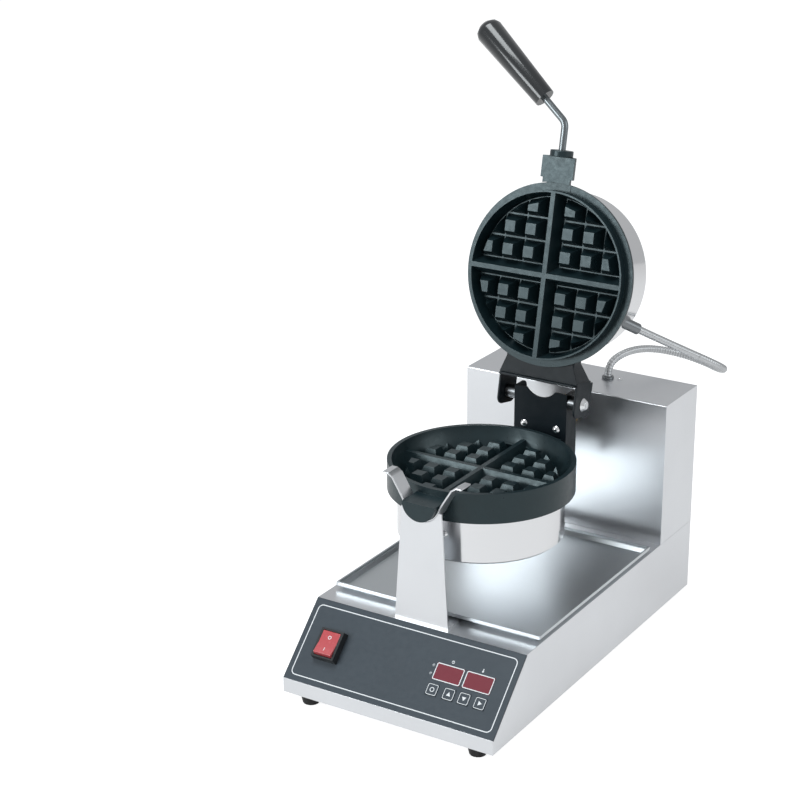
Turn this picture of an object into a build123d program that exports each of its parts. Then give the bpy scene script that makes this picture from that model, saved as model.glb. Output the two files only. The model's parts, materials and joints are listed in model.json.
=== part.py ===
from build123d import *

import math
import os

# Rotary round-waffle baker, in millimetres.
# +Z is up, the control panel faces -Y, and the origin is the middle of the base on the table.
# The rest pose has the upper iron swung open.

# Small and hidden round forms have flat sides, which keeps the meshes light
SCREW_SIDES = 8
SHANK_SIDES = 6
ROUND_SIDES = 16
HIDDEN_SIDES = 32
RIM_SIDES = 64

# Base, a folded stainless box with a sloped panel
BASE_HALF = 130.0
FRONT_Y = -236.5
REAR_Y = 236.5
FOOT_HEIGHT = 12.0
LIP_TOP = 29.1
SLOPE_TOP_Y = -167.8
DECK_Z = 96.4
SHEET = 1.5
COVER_LEDGE = 10.0
FOOT_X = 104.0
FOOT_Y = 221.5
FOOT_RECESS = 5.0

# Control panel on the slope
PANEL_THICK = 2.0
PANEL_LENGTH = math.hypot(SLOPE_TOP_Y - FRONT_Y, DECK_Z - LIP_TOP)
PANEL_TILT = math.degrees(math.atan2(DECK_Z - LIP_TOP, SLOPE_TOP_Y - FRONT_Y))
WINDOW_HALF_X = 118.0
WINDOW_MARGIN = 12.0
FIT_GAP = 0.2

# Rocker switch, placed by x and by distance down the slope
SWITCH_X = -90.0
SWITCH_DOWN = 49.5
BEZEL_WIDTH = 30.0
BEZEL_LENGTH = 35.0
BEZEL_HEIGHT = 9.0
SWITCH_BODY_DEPTH = 20.0
ROCKER_WIDTH = 22.0
ROCKER_RADIUS = 14.2
ROCKER_PIVOT = 6.0
ROCKER_TILT = 7.0
ROCKER_END_RISE = 4.8
ROCKER_MID_RISE = 3.4
ROCKER_PIN = 1.5
RUNNING_GAP = 0.05

# Keys, displays and lamps
KEY_SIZE = 12.8
KEY_DOWN = 63.0
KEY_XS = (43.6, 63.6, 81.8, 100.8)
KEY_PROUD = 0.8
KEY_DEPTH = 4.0
DISPLAY_XS = (54.5, 90.5)
DISPLAY_DOWN = 42.5
DISPLAY_WIDTH = 33.0
DISPLAY_HEIGHT = 19.0
LAMP_X = 34.4
LAMP_DOWNS = (37.2, 46.4)
LAMP_RADIUS = 1.8
BOARD_X = (28.0, 112.0)
BOARD_DOWN = (26.0, 76.0)
BOARD_DEPTH = 9.0
BOARD_THICK = 1.6

# Rear tower
TOWER_FRONT = 152.9
TOWER_TOP = 267.4
TOWER_SCREW = (44.5, 207.5)
REAR_COVER_INSET = 1.5
GLAND_LOWER_X = 31.0
GLAND_LOWER_Y = 203.2

# Turning axis of the irons, along Y
AXIS_Z = 236.4
SHAFT_RADIUS = 10.0
BEARING_RADIUS = 16.0
PAN_Y = -38.5
PAN_RADIUS = 103.0
RIM_INNER_TOP = 98.0
RIM_INNER_STEP = 95.6
CAVITY_RADIUS_BASE = 87.5
CONE_RADIUS_TOP = 81.0
CONE_RADIUS_BASE = 87.0
WAFFLE_DEPTH = 16.0
RIM_TOP = AXIS_Z + 7.0
LOWER_PEG_TOP = AXIS_Z - 3.8
LOWER_VALLEY = LOWER_PEG_TOP - WAFFLE_DEPTH
LOWER_PAN_BOTTOM = AXIS_Z - 26.6
LOWER_COVER_BOTTOM = AXIS_Z - 78.0
COVER_RADIUS = 92.0
COVER_SHEET = 1.2
COVER_EDGE = 2.0

# Upper iron, given in its closed place
RING_FACE = AXIS_Z - 3.0
UPPER_VALLEY = RING_FACE + WAFFLE_DEPTH
RING_OUTER = 94.4
RING_INNER = 92.5
FLANGE_BOTTOM = AXIS_Z + 8.0
FLANGE_TOP = FLANGE_BOTTOM + 3.5
UPPER_PAN_TOP = AXIS_Z + 20.5
UPPER_COVER_TOP = AXIS_Z + 69.7

# Waffle pattern, the same on both irons
PEG_PITCH = 26.0
PEG_START = 23.0
PEG_TOP = 12.5
PEG_BASE = 24.0
RIB_TOP = 5.5
RIB_BASE = 19.5

# Journals at the front of the irons and the sheet bracket that carries them
JOURNAL_RADIUS = 20.0
JOURNAL_FLAT_GAP = 0.3
LOWER_JOURNAL_END = -170.3
UPPER_JOURNAL_END = -170.5
NECK_RADIUS = 17.0
NECK_END = -146.5
BRACKET_FRONT = -163.8
BRACKET_SHEET = 2.0
BRACKET_HALF_FOOT = 33.0
BRACKET_HALF_TOP = 24.5
BRACKET_SHOULDER = AXIS_Z - 12.5
BRACKET_FOOT_END = -135.8
CRADLE_RADIUS = JOURNAL_RADIUS + 0.1
CRADLE_BACK = -143.8

# Hinge of the upper iron, along X
HINGE_Y = 103.1
HINGE_Z = 269.1
LID_OPEN = 101.4
CHANNEL_FRONT = 94.7
CHANNEL_SHEET = 2.5
CHANNEL_HALF = 33.5
CHANNEL_BOTTOM = 180.4
CHANNEL_TOP = 280.4
CHANNEL_BACK = 119.5
SCALLOP_HALF = 18.0
SCALLOP_DEPTH = 9.0
EAR_INNER = 47.0
EAR_SHEET = 2.5
BOLT_RADIUS = 5.0
BOLT_HEAD = 8.0
BOLT_HEAD_HEIGHT = 4.5

# Handle, in its closed place
ROD_Z = AXIS_Z + 6.5
ROD_RADIUS = 4.0
ROD_START_Y = -156.0
ROD_BEND_Y = HINGE_Y - 311.0
ROD_BEND_RADIUS = 13.0
HANDLE_ANGLE = 50.0
ROD_AFTER_BEND = 37.0
GRIP_LENGTH = 112.0
GRIP_R_NEAR = 11.75
GRIP_R_FAR = 15.5
GRIP_CAP = 9.0
GRIP_SOCKET = 30.0

# Armoured cable between tower and upper iron
CONDUIT_RADIUS = 4.5
CONDUIT_SIDES = 6
LOWER_GLAND_HEIGHT = 3.0
LOWER_GLAND_RADIUS = 7.0
UPPER_GLAND_RADIUS = 6.5
UPPER_GLAND_LENGTH = 30.0
LOWER_ROUTE = [
    (31.0, 203.2, TOWER_TOP + LOWER_GLAND_HEIGHT),
    (31.0, 203.2, 282.0),
    (35.0, 217.0, 290.5),
    (44.0, 240.0, 294.0),
    (58.0, 264.0, 291.5),
    (82.0, 286.0, 283.5),
    (112.0, 296.0, 274.5),
    (138.0, 283.0, 273.5),
    (160.0, 246.0, 290.0),
    (136.5, 217.0, 309.5),
]
UPPER_ROUTE = [
    (136.5, 217.0, 309.5),
    (113.0, 188.0, 329.0),
    (88.7, 157.4, 350.4),
]


def block(x0, x1, y0, y1, z0, z1):
    """A box between two opposite corners."""
    middle = Pos((x0 + x1) / 2, (y0 + y1) / 2, (z0 + z1) / 2)
    return middle * Box(x1 - x0, y1 - y0, z1 - z0)


def bar_x(y, z, x0, x1, radius):
    """A cylinder along X."""
    return Pos((x0 + x1) / 2, y, z) * Rot(0, 90, 0) * Cylinder(radius, x1 - x0)


def bar_y(x, z, y0, y1, radius):
    """A cylinder along Y."""
    return Pos(x, (y0 + y1) / 2, z) * Rot(90, 0, 0) * Cylinder(radius, y1 - y0)


def bar_z(x, y, z0, z1, radius):
    """A cylinder along Z."""
    return Pos(x, y, (z0 + z1) / 2) * Cylinder(radius, z1 - z0)


def side_prism(points, half_width):
    """A closed outline of (y, z) points, spread evenly to both sides of the middle."""
    return extrude(Plane.YZ * make_face(Polyline(*points, close=True)), half_width, both=True)


def prism(sides, radius, z0, z1):
    """An upright regular prism with its corners on a circle."""
    return Pos(0, 0, z0) * extrude(RegularPolygon(radius, sides), z1 - z0)


def prism_x(sides, y, z, x0, x1, radius):
    """A regular prism along X."""
    return Pos(x0, y, z) * Rot(0, 90, 0) * prism(sides, radius, 0, x1 - x0)


def prism_y(sides, x, z, y0, y1, radius):
    """A regular prism along Y."""
    return Pos(x, y0, z) * Rot(-90, 0, 0) * prism(sides, radius, 0, y1 - y0)


def tapered_prism(sides, low_radius, high_radius, height):
    """A regular prism on z = 0 that narrows or widens towards its top."""
    step = (low_radius - high_radius) * math.cos(math.pi / sides)
    taper = math.degrees(math.atan2(step, height))
    return extrude(RegularPolygon(low_radius, sides), height, taper=taper)


def screw(head_radius, head_height, shank_radius, shank_length):
    """A low-headed screw: its head stands on z = 0 and its shank goes down."""
    head = tapered_prism(SCREW_SIDES, head_radius, 0.55 * head_radius, head_height)
    return head + prism(SHANK_SIDES, shank_radius, -shank_length, 0)


def cut_by(shape, tools):
    """Cut several tools out of a shape."""
    for tool in tools:
        shape -= tool
    return shape


SLOPE = Plane(
    origin=(0, SLOPE_TOP_Y, DECK_Z),
    x_dir=(1, 0, 0),
    z_dir=(0, -math.sin(math.radians(PANEL_TILT)), math.cos(math.radians(PANEL_TILT))),
)


def on_slope(x, down, out=0.0):
    """A place on the panel: across, down the slope from its top edge, and out of its face."""
    return SLOPE * Pos(x, -down, out)


def slope_block(x0, x1, down0, down1, out0, out1):
    """A box lying on the slope."""
    place = on_slope((x0 + x1) / 2, (down0 + down1) / 2, (out0 + out1) / 2)
    return place * Box(x1 - x0, down1 - down0, out1 - out0)


HINGE_AXIS = Axis((0, HINGE_Y, HINGE_Z), (1, 0, 0))


def opened(shape):
    """Swing a piece of the upper iron from its closed place to the open rest pose."""
    return shape.rotate(HINGE_AXIS, -LID_OPEN)


# Base

def base_outline(inset):
    """The side view of the base, moved inward by a sheet thickness."""
    return [
        (FRONT_Y + inset, FOOT_HEIGHT),
        (FRONT_Y + inset, LIP_TOP + inset * 0.41),
        (SLOPE_TOP_Y + inset * 0.41, DECK_Z - inset),
        (REAR_Y - inset, DECK_Z - inset),
        (REAR_Y - inset, FOOT_HEIGHT),
    ]


def panel_slab():
    """The overlay plate that covers the whole slope."""
    return slope_block(-BASE_HALF, BASE_HALF, 0, PANEL_LENGTH, -PANEL_THICK, 0)


def make_base_housing():
    """Folded stainless box, open below, with a turned-in ledge for the bottom cover."""
    outer = side_prism(base_outline(0), BASE_HALF)
    hollow_z = FOOT_HEIGHT + 2 * SHEET
    inner = side_prism(base_outline(SHEET), BASE_HALF - SHEET)
    inner -= block(-BASE_HALF, BASE_HALF, FRONT_Y, REAR_Y, 0, hollow_z)
    backing = slope_block(-BASE_HALF, BASE_HALF, -SHEET, PANEL_LENGTH, -PANEL_THICK - SHEET, 0)
    shell = outer - (inner - backing) - panel_slab()
    ledge = SHEET + COVER_LEDGE
    shell -= block(
        -BASE_HALF + ledge, BASE_HALF - ledge, FRONT_Y + ledge, REAR_Y - ledge, 0, hollow_z
    )
    shell -= block(
        -BASE_HALF + SHEET, BASE_HALF - SHEET, FRONT_Y + SHEET, REAR_Y - SHEET,
        FOOT_HEIGHT, FOOT_HEIGHT + SHEET,
    )
    shell -= slope_block(
        -WINDOW_HALF_X, WINDOW_HALF_X, WINDOW_MARGIN, PANEL_LENGTH - WINDOW_MARGIN,
        -PANEL_THICK - 3 * SHEET, 0,
    )
    shell -= block(-90, 90, TOWER_FRONT + 15, REAR_Y - 15, DECK_Z - 2 * SHEET, DECK_Z)
    shell = cut_by(shell, make_bracket_screws())
    shell -= inlet_block(0)
    return shell


def make_bottom_cover():
    """Flat cover plate screwed under the ledge, with a row of cooling slots."""
    plate = block(
        -BASE_HALF + SHEET, BASE_HALF - SHEET, FRONT_Y + SHEET, REAR_Y - SHEET,
        FOOT_HEIGHT, FOOT_HEIGHT + SHEET,
    )
    for step in range(6):
        y = -60 + 24 * step
        plate -= block(-45, 45, y, y + 6, FOOT_HEIGHT, FOOT_HEIGHT + SHEET)
    plate = cut_by(plate, make_foot_screws())
    return plate


def foot_places():
    """The four corners where the feet are screwed on."""
    return [(x, y) for x in (-FOOT_X, FOOT_X) for y in (-FOOT_Y, FOOT_Y)]


def make_feet():
    """Tapered rubber feet with a recess for the screw head."""
    foot = tapered_prism(ROUND_SIDES, 9.0, 12.0, FOOT_HEIGHT)
    foot -= prism(SCREW_SIDES, 5.0, 0, FOOT_RECESS)
    feet = []
    for (x, y), hole in zip(foot_places(), make_foot_screws()):
        feet.append(Pos(x, y, 0) * foot - hole)
    return feet


def make_foot_screws():
    """Screws that hold the feet, sunk in their recesses."""
    foot_screw = Pos(0, 0, FOOT_RECESS) * Rot(180, 0, 0) * screw(4.0, 2.5, 2.0, 12.0)
    return [Pos(x, y, 0) * foot_screw for x, y in foot_places()]


def inlet_block(inset):
    """The space of the mains inlet in the rear wall, made smaller by an inset."""
    return block(-78 + inset, -50 - inset, REAR_Y - SHEET, REAR_Y, 34 + inset, 54 - inset)


def make_power_inlet():
    """Recessed mains inlet with three pins, flush with the rear wall."""
    inlet = inlet_block(0) + block(-76, -52, REAR_Y - 22, REAR_Y - SHEET, 36, 52)
    inlet -= block(-73, -55, REAR_Y - 16, REAR_Y, 39, 49)
    for x, z in ((-69, 42.5), (-59, 42.5), (-64, 46)):
        inlet += block(x - 1, x + 1, REAR_Y - 17, REAR_Y - 3, z - 1.5, z + 1.5)
    return inlet


def make_transformer():
    """Laminated transformer bolted to the bottom cover, its coil through the core."""
    floor = FOOT_HEIGHT + SHEET
    core = block(-35, 15, 60, 96, floor, floor + 42)
    core -= block(-24, -15, 60, 96, floor + 10, floor + 32)
    core -= block(-5, 4, 60, 96, floor + 10, floor + 32)
    coil = block(-23.5, 3.5, 52, 104, floor + 10.5, floor + 31.5)
    return core + coil


def make_terminal_block():
    """Row of six wire clamps on the bottom cover."""
    floor = FOOT_HEIGHT + SHEET
    strip = block(40, 100, 170, 190, floor, floor + 8)
    for step in range(6):
        x = 45 + 10 * step
        strip += block(x - 3.8, x + 3.8, 174, 186, floor + 8, floor + 16)
        strip -= block(x - 1.8, x + 1.8, 172, 188, floor + 10, floor + 14)
    return strip


# Control panel

def make_control_panel():
    """Overlay plate with openings for the switch, the displays, the lamps and the keys."""
    panel = panel_slab()
    panel -= slope_block(
        SWITCH_X - 12.7, SWITCH_X + 12.7, SWITCH_DOWN - 15.2, SWITCH_DOWN + 15.2, -PANEL_THICK, 0
    )
    for x in KEY_XS:
        half = KEY_SIZE / 2 + FIT_GAP
        panel -= slope_block(x - half, x + half, KEY_DOWN - half, KEY_DOWN + half, -PANEL_THICK, 0)
    for x in DISPLAY_XS:
        panel -= display_space(x, -PANEL_THICK, 0)
    return cut_by(panel, make_indicator_lamps())


def display_space(x, out0, out1):
    """The rectangle of one display."""
    return slope_block(
        x - DISPLAY_WIDTH / 2, x + DISPLAY_WIDTH / 2,
        DISPLAY_DOWN - DISPLAY_HEIGHT / 2, DISPLAY_DOWN + DISPLAY_HEIGHT / 2, out0, out1,
    )


def make_display_windows():
    """Two dark red windows, a little proud of the panel."""
    return [display_space(x, -PANEL_THICK, 0.5) for x in DISPLAY_XS]


def make_indicator_lamps():
    """Two small round lamps with raised tops."""
    lamp = prism(ROUND_SIDES, LAMP_RADIUS, -PANEL_THICK, 0)
    lamp += tapered_prism(ROUND_SIDES, LAMP_RADIUS, 0.6 * LAMP_RADIUS, 0.7)
    return [on_slope(LAMP_X, down) * lamp for down in LAMP_DOWNS]


def key_place(x):
    """The middle of a key on the panel's face."""
    return on_slope(x, KEY_DOWN)


def make_key(x):
    """Square key cap with a rounded rim and a stem towards its contact."""
    cap = Pos(0, 0, (KEY_PROUD - PANEL_THICK) / 2) * Box(
        KEY_SIZE, KEY_SIZE, KEY_PROUD + PANEL_THICK
    )
    cap = chamfer(cap.faces().sort_by(Axis.Z)[-1].edges(), 0.5)
    return key_place(x) * (cap + block(-2, 2, -2, 2, -KEY_DEPTH, -PANEL_THICK))


def make_control_board():
    """Printed board behind the panel, with contacts under the keys and display blocks."""
    back = -BOARD_DEPTH
    board = slope_block(
        BOARD_X[0], BOARD_X[1], BOARD_DOWN[0], BOARD_DOWN[1], back - BOARD_THICK, back
    )
    for x in KEY_XS:
        board += slope_block(x - 3, x + 3, KEY_DOWN - 3, KEY_DOWN + 3, back, -KEY_DEPTH - 1.2)
    for x in DISPLAY_XS:
        board += slope_block(x - 12, x + 12, DISPLAY_DOWN - 8, DISPLAY_DOWN + 8, back, -PANEL_THICK)
    for x in (BOARD_X[0] + 3, BOARD_X[1] - 3):
        for down in (BOARD_DOWN[0] + 3, BOARD_DOWN[1] - 3):
            board += slope_block(x - 2, x + 2, down - 2, down + 2, back, -PANEL_THICK)
    return board


def make_switch_housing():
    """Black switch body with a raised tapered bezel round the rocker."""
    bezel = on_slope(SWITCH_X, SWITCH_DOWN) * extrude(
        Rectangle(BEZEL_WIDTH, BEZEL_LENGTH), BEZEL_HEIGHT, taper=6
    )
    body = slope_block(
        SWITCH_X - 12.7, SWITCH_X + 12.7, SWITCH_DOWN - 15.2, SWITCH_DOWN + 15.2,
        -SWITCH_BODY_DEPTH, 0,
    )
    half_pocket = ROCKER_WIDTH / 2 + FIT_GAP
    pocket = slope_block(
        SWITCH_X - half_pocket, SWITCH_X + half_pocket, SWITCH_DOWN - ROCKER_RADIUS - 0.3,
        SWITCH_DOWN + ROCKER_RADIUS + 0.3, ROCKER_PIVOT - 9.0, BEZEL_HEIGHT,
    )
    half_pin = ROCKER_WIDTH / 2 + FIT_GAP + 1.5
    pin_hole = on_slope(SWITCH_X, SWITCH_DOWN, ROCKER_PIVOT) * prism_x(
        SCREW_SIDES, 0, 0, -half_pin, half_pin, ROCKER_PIN + 4 * RUNNING_GAP
    )
    housing = bezel + body - pocket - pin_hole
    for x in (-6, 6):
        housing += slope_block(
            SWITCH_X + x - 0.4, SWITCH_X + x + 0.4, SWITCH_DOWN - 3, SWITCH_DOWN + 3,
            -SWITCH_BODY_DEPTH - 8, -SWITCH_BODY_DEPTH,
        )
    return housing


def make_rocker_switch():
    """Rocker with a shallow V top, tilted to its off side, and two pivot pins."""
    half_end = math.sqrt(ROCKER_RADIUS ** 2 - ROCKER_END_RISE ** 2)
    low = -4.0
    half_low = math.sqrt(ROCKER_RADIUS ** 2 - low ** 2)
    outline = make_face(
        ThreePointArc((half_low, low), (ROCKER_RADIUS, 0), (half_end, ROCKER_END_RISE))
        + Line((half_end, ROCKER_END_RISE), (0, ROCKER_MID_RISE))
        + Line((0, ROCKER_MID_RISE), (-half_end, ROCKER_END_RISE))
        + ThreePointArc((-half_end, ROCKER_END_RISE), (-ROCKER_RADIUS, 0), (-half_low, low))
        + Line((-half_low, low), (half_low, low))
    )
    rocker = extrude(Plane.YZ * outline, ROCKER_WIDTH / 2, both=True)
    rocker += Rot(0, 90, 0) * Cylinder(ROCKER_PIN, ROCKER_WIDTH + 2 * 1.5)
    return on_slope(SWITCH_X, SWITCH_DOWN, ROCKER_PIVOT) * Rot(-ROCKER_TILT, 0, 0) * rocker


# Tower

def make_tower_housing():
    """Folded stainless tower, open behind and below."""
    outer = block(-BASE_HALF, BASE_HALF, TOWER_FRONT, REAR_Y, DECK_Z, TOWER_TOP)
    outer = fillet(outer.edges().filter_by(Axis.X).group_by(Axis.Z)[-1], 1.5)
    inner = block(
        -BASE_HALF + SHEET, BASE_HALF - SHEET, TOWER_FRONT + SHEET, REAR_Y, DECK_Z,
        TOWER_TOP - SHEET,
    )
    tower = outer - inner
    foot = block(-BASE_HALF, BASE_HALF, TOWER_FRONT, TOWER_FRONT + 12, DECK_Z, DECK_Z + SHEET)
    tower += foot
    return cut_by(tower, [bearing_sleeve(), make_lower_gland(), make_tower_screws()[0]])


def rear_screw_places():
    """Six places round the rear cover."""
    return [(x, z) for x in (-118, 0, 118) for z in (108, 256)]


def make_rear_cover():
    """Inset rear cover with two rows of cooling slots."""
    back = REAR_Y - REAR_COVER_INSET
    plate = block(
        -BASE_HALF + SHEET, BASE_HALF - SHEET, back - SHEET, back, DECK_Z, TOWER_TOP - SHEET
    )
    for row in (150, 190):
        for step in range(8):
            x = -63 + 18 * step
            plate -= block(x - 3, x + 3, back - SHEET, back, row, row + 26)
    plate = cut_by(plate, make_tower_screws()[1:])
    return plate


def make_tower_screws():
    """The screw on the tower's top and those of the rear cover."""
    back = REAR_Y - REAR_COVER_INSET
    rear_screw = Rot(-90, 0, 0) * screw(3.4, 1.5, 1.8, 6.0)
    screws = [Pos(*TOWER_SCREW, TOWER_TOP) * screw(3.4, 2.0, 1.8, 6.0)]
    return screws + [Pos(x, back, z) * rear_screw for x, z in rear_screw_places()]


def make_lower_gland():
    """Low gland on the tower's top, where the armoured cable comes out, with its inside nut."""
    gland = prism(ROUND_SIDES, LOWER_GLAND_RADIUS, 0, LOWER_GLAND_HEIGHT - 0.8)
    gland += Pos(0, 0, LOWER_GLAND_HEIGHT - 0.8) * tapered_prism(
        ROUND_SIDES, LOWER_GLAND_RADIUS, LOWER_GLAND_RADIUS - 0.8, 0.8
    )
    gland += prism(ROUND_SIDES, 6.0, -12, 0)
    gland += prism(6, 9.0, -SHEET - 5, -SHEET)
    return Pos(GLAND_LOWER_X, GLAND_LOWER_Y, TOWER_TOP) * gland


def bearing_sleeve():
    """The part of the bush that goes through the tower's front wall."""
    return prism_y(ROUND_SIDES, 0, AXIS_Z, TOWER_FRONT, TOWER_FRONT + 22, BEARING_RADIUS)


def make_shaft_bearing():
    """Flanged bush in the tower's front wall."""
    flange = prism_y(ROUND_SIDES, 0, AXIS_Z, TOWER_FRONT - 4, TOWER_FRONT, BEARING_RADIUS + 4)
    bore = bar_y(0, AXIS_Z, TOWER_FRONT - 4, TOWER_FRONT + 22, SHAFT_RADIUS + RUNNING_GAP)
    return flange + bearing_sleeve() - bore


# Front bracket

def make_front_bracket():
    """Tapered sheet bracket with a foot and a round notch for the cradle."""
    outline = Polyline(
        (-BRACKET_HALF_FOOT, DECK_Z),
        (-BRACKET_HALF_TOP, BRACKET_SHOULDER),
        (-BRACKET_HALF_TOP, BRACKET_SHOULDER + 4),
        (BRACKET_HALF_TOP, BRACKET_SHOULDER + 4),
        (BRACKET_HALF_TOP, BRACKET_SHOULDER),
        (BRACKET_HALF_FOOT, DECK_Z),
        close=True,
    )
    plate = extrude(Plane.XZ * make_face(outline), -BRACKET_SHEET)
    plate = Pos(0, BRACKET_FRONT, 0) * plate
    plate -= bar_y(
        0, AXIS_Z, BRACKET_FRONT, BRACKET_FRONT + BRACKET_SHEET, CRADLE_RADIUS + BRACKET_SHEET
    )
    foot = block(
        -BRACKET_HALF_FOOT, BRACKET_HALF_FOOT, BRACKET_FRONT, BRACKET_FOOT_END,
        DECK_Z, DECK_Z + BRACKET_SHEET,
    )
    foot = fillet(foot.edges().filter_by(Axis.Z).group_by(Axis.Y)[-1], 6.0)
    bracket = plate + foot
    bracket = cut_by(bracket, make_bracket_screws())
    return bracket


def bracket_screw_places():
    """Two places on the bracket's foot."""
    return [(x, -148.0) for x in (-20.0, 20.0)]


def make_pan_cradle():
    """Bent strip that carries the journal, with cheeks that guide it in and curled lips."""
    inner = CRADLE_RADIUS
    outer = CRADLE_RADIUS + BRACKET_SHEET
    saddle = bar_y(0, AXIS_Z, BRACKET_FRONT, CRADLE_BACK, outer)
    saddle -= bar_y(0, AXIS_Z, BRACKET_FRONT, CRADLE_BACK, inner)
    cheek_base = AXIS_Z - 8.0
    saddle -= block(-60, 60, BRACKET_FRONT, CRADLE_BACK, cheek_base, AXIS_Z + 60)
    low_in = math.sqrt(inner ** 2 - (cheek_base - AXIS_Z) ** 2)
    low_out = math.sqrt(outer ** 2 - (cheek_base - AXIS_Z) ** 2)
    cradle = saddle
    for side in (-1, 1):
        outline = Polyline(
            (side * low_in, cheek_base),
            (side * 22.4, AXIS_Z),
            (side * 35.0, AXIS_Z + 20.5),
            (side * 41.0, AXIS_Z + 24.5),
            (side * 48.0, AXIS_Z + 24.5),
            (side * 48.0, AXIS_Z + 22.5),
            (side * 41.6, AXIS_Z + 22.5),
            (side * 36.6, AXIS_Z + 19.3),
            (side * 24.4, AXIS_Z - 0.5),
            (side * low_out, cheek_base),
            close=True,
        )
        cheek = extrude(Plane.XZ * make_face(outline), CRADLE_BACK - BRACKET_FRONT)
        cradle += Pos(0, CRADLE_BACK, 0) * cheek
    return cradle


def make_bracket_screws():
    """Two dome screws through the bracket's foot."""
    top = DECK_Z + BRACKET_SHEET
    return [Pos(x, y, top) * screw(4.5, 2.5, 2.5, 8.0) for x, y in bracket_screw_places()]


# Drip tray

def make_drip_tray():
    """Shallow loose tray with sloped walls and a turned rim."""
    x0, x1 = -125.0, 129.0
    y0, y1 = -138.8, 126.0
    inset = 6.3
    rise = 5.0
    hem_low, hem_top = DECK_Z + 4.0, DECK_Z + 8.0
    middle = Pos((x0 + x1) / 2, (y0 + y1) / 2, DECK_Z)
    wide = x1 - x0 - 2 * inset
    deep = y1 - y0 - 2 * inset
    tub = middle * extrude(Rectangle(wide, deep), rise, taper=-45)
    inner = middle * Pos(0, 0, 1.2) * extrude(Rectangle(wide - 1, deep - 1), rise, taper=-45)
    hem = block(x0, x1, y0, y1, hem_low, hem_top)
    hem -= block(x0 + 2, x1 - 2, y0 + 2, y1 - 2, hem_low, hem_top)
    return tub - inner + hem


# Irons

def taper_angle(wide, narrow, height):
    """The draft angle between a wide base and a narrow top."""
    return math.degrees(math.atan2((wide - narrow) / 2, height))


def waffle_pattern(reach_base, reach_top):
    """Square pegs and cross ribs on the plane z = 0, pointing up; the ribs end on a cone."""
    peg = extrude(
        Rectangle(PEG_BASE, PEG_BASE), WAFFLE_DEPTH,
        taper=taper_angle(PEG_BASE, PEG_TOP, WAFFLE_DEPTH),
    )
    pegs = []
    for sx in (-1, 1):
        for sy in (-1, 1):
            for column in range(3):
                for row in range(3):
                    if column + row < 4:
                        x = sx * (PEG_START + PEG_PITCH * column)
                        y = sy * (PEG_START + PEG_PITCH * row)
                        pegs.append(Pos(x, y, 0) * peg)
    bound = tapered_prism(HIDDEN_SIDES, CONE_RADIUS_BASE, CONE_RADIUS_TOP, WAFFLE_DEPTH)
    clipped = [peg & bound for peg in pegs]
    rib = make_face(
        Polyline(
            (-RIB_BASE / 2, 0), (RIB_BASE / 2, 0),
            (RIB_TOP / 2, WAFFLE_DEPTH), (-RIB_TOP / 2, WAFFLE_DEPTH), close=True,
        )
    )
    cross = extrude(Plane.YZ * rib, PAN_RADIUS, both=True) + extrude(
        Plane.XZ * rib, PAN_RADIUS, both=True
    )
    return clipped, cross & tapered_prism(RIM_SIDES, reach_base, reach_top, WAFFLE_DEPTH)


def make_lower_pan():
    """Lower iron: a cast pan with a deep rim, the waffle pattern, a journal and a rear lug."""
    pan = bar_z(0, PAN_Y, LOWER_PAN_BOTTOM, RIM_TOP, PAN_RADIUS)
    pan -= Pos(0, PAN_Y, LOWER_VALLEY) * tapered_prism(
        RIM_SIDES, CAVITY_RADIUS_BASE, RIM_INNER_STEP, WAFFLE_DEPTH
    )
    pan -= Pos(0, PAN_Y, LOWER_PEG_TOP) * tapered_prism(
        RIM_SIDES, RIM_INNER_STEP, RIM_INNER_TOP, RIM_TOP - LOWER_PEG_TOP
    )
    pegs, ribs = waffle_pattern(CAVITY_RADIUS_BASE + 1, RIM_INNER_STEP + 1)
    place = Pos(0, PAN_Y, LOWER_VALLEY)
    pan += place * ribs
    pan += [place * peg for peg in pegs]
    journal = bar_y(0, AXIS_Z, LOWER_JOURNAL_END, PAN_Y - PAN_RADIUS + 3, JOURNAL_RADIUS)
    journal -= block(
        -30, 30, LOWER_JOURNAL_END - 1, PAN_Y - 90, AXIS_Z - JOURNAL_FLAT_GAP, AXIS_Z + 30
    )
    pan += journal
    lug = block(-28, 28, PAN_Y + 88, CHANNEL_FRONT, LOWER_PAN_BOTTOM, AXIS_Z - 10)
    pan += lug
    pan = cut_by(pan, make_channel_screws()[2:])
    return pan


def make_upper_pan():
    """Upper iron: ring, flange, waffle pattern and the other half of the journal."""
    pan = bar_z(0, PAN_Y, RING_FACE, FLANGE_TOP, RING_OUTER)
    pan += bar_z(0, PAN_Y, FLANGE_BOTTOM, FLANGE_TOP, PAN_RADIUS)
    pan += Pos(0, PAN_Y, 0) * can_hollow(FLANGE_TOP, UPPER_PAN_TOP)
    pan -= Pos(0, PAN_Y, RING_FACE) * tapered_prism(
        RIM_SIDES, RING_INNER, CAVITY_RADIUS_BASE, WAFFLE_DEPTH
    )
    pegs, ribs = waffle_pattern(CAVITY_RADIUS_BASE + 1, RING_INNER + 1)
    place = Pos(0, PAN_Y, UPPER_VALLEY) * Rot(180, 0, 0)
    pan += place * ribs
    pan += [place * peg for peg in pegs]
    journal = bar_y(0, AXIS_Z, UPPER_JOURNAL_END, NECK_END, JOURNAL_RADIUS)
    journal += bar_y(0, AXIS_Z, NECK_END, PAN_Y - COVER_RADIUS - 0.5, NECK_RADIUS)
    journal -= block(-30, 30, UPPER_JOURNAL_END - 1, PAN_Y, AXIS_Z - 30, AXIS_Z + JOURNAL_FLAT_GAP)
    journal -= bar_z(0, PAN_Y, AXIS_Z - 30, FLANGE_BOTTOM - 0.5, PAN_RADIUS + 0.5)
    pan += journal
    return opened(pan) - make_handle_rod()


def can_hollow(z0, z1):
    """The flat-sided space inside a can, which the upper iron's back fills at its open end."""
    return prism(HIDDEN_SIDES, COVER_RADIUS - COVER_SHEET, z0, z1)


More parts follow.
